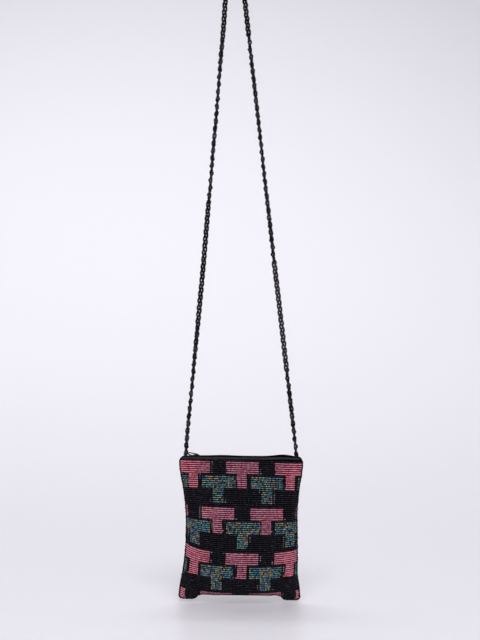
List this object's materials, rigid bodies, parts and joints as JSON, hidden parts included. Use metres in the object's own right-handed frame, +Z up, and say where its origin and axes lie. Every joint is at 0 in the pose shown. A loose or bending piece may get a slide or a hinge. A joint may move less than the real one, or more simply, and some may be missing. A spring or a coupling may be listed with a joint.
{
  "type": "beaded crossbody bag",
  "caption": "Small flat crossbody pouch paved with seed beads in a repeat of stepped T blocks, closed by a zip, hanging from a long strap of plaited bead strands.",
  "frame": {"origin": "underside of the strap's topmost bend, where a hook or a shoulder carries the bag", "axes": "+Z up along the hanging strap, +X to the right of the front panel, +Y from the front to the back"},
  "size_m": [0.141, 0.035, 0.7273],
  "materials": {
    "panel_beads": "rows of glossy seed beads in black, pink and an iris mix",
    "black_beads": "glossy jet black seed beads on thread",
    "zip_tape": "black woven polyester tape",
    "zip_coil": "black nylon coil",
    "zip_metal": "dark gunmetal, worn at the edges"
  },
  "bodies": {
    "bag": {"front_panel": "panel_beads", "back_panel": "panel_beads", "edge_beading": "black_beads", "zip_tape_front": "zip_tape", "zip_tape_back": "zip_tape", "zip_coil": "zip_coil", "zip_slider": "zip_metal", "strap": "black_beads"},
    "pull": {"zip_pull": "zip_metal"}
  },
  "joints": [
    {"name": "pull_swing", "type": "hinge", "parent": "bag", "child": "pull", "pos_m": [-0.0394, 0, -0.56103], "axis": [0, 1, 0], "range_deg": [0, 120]}
  ]
}
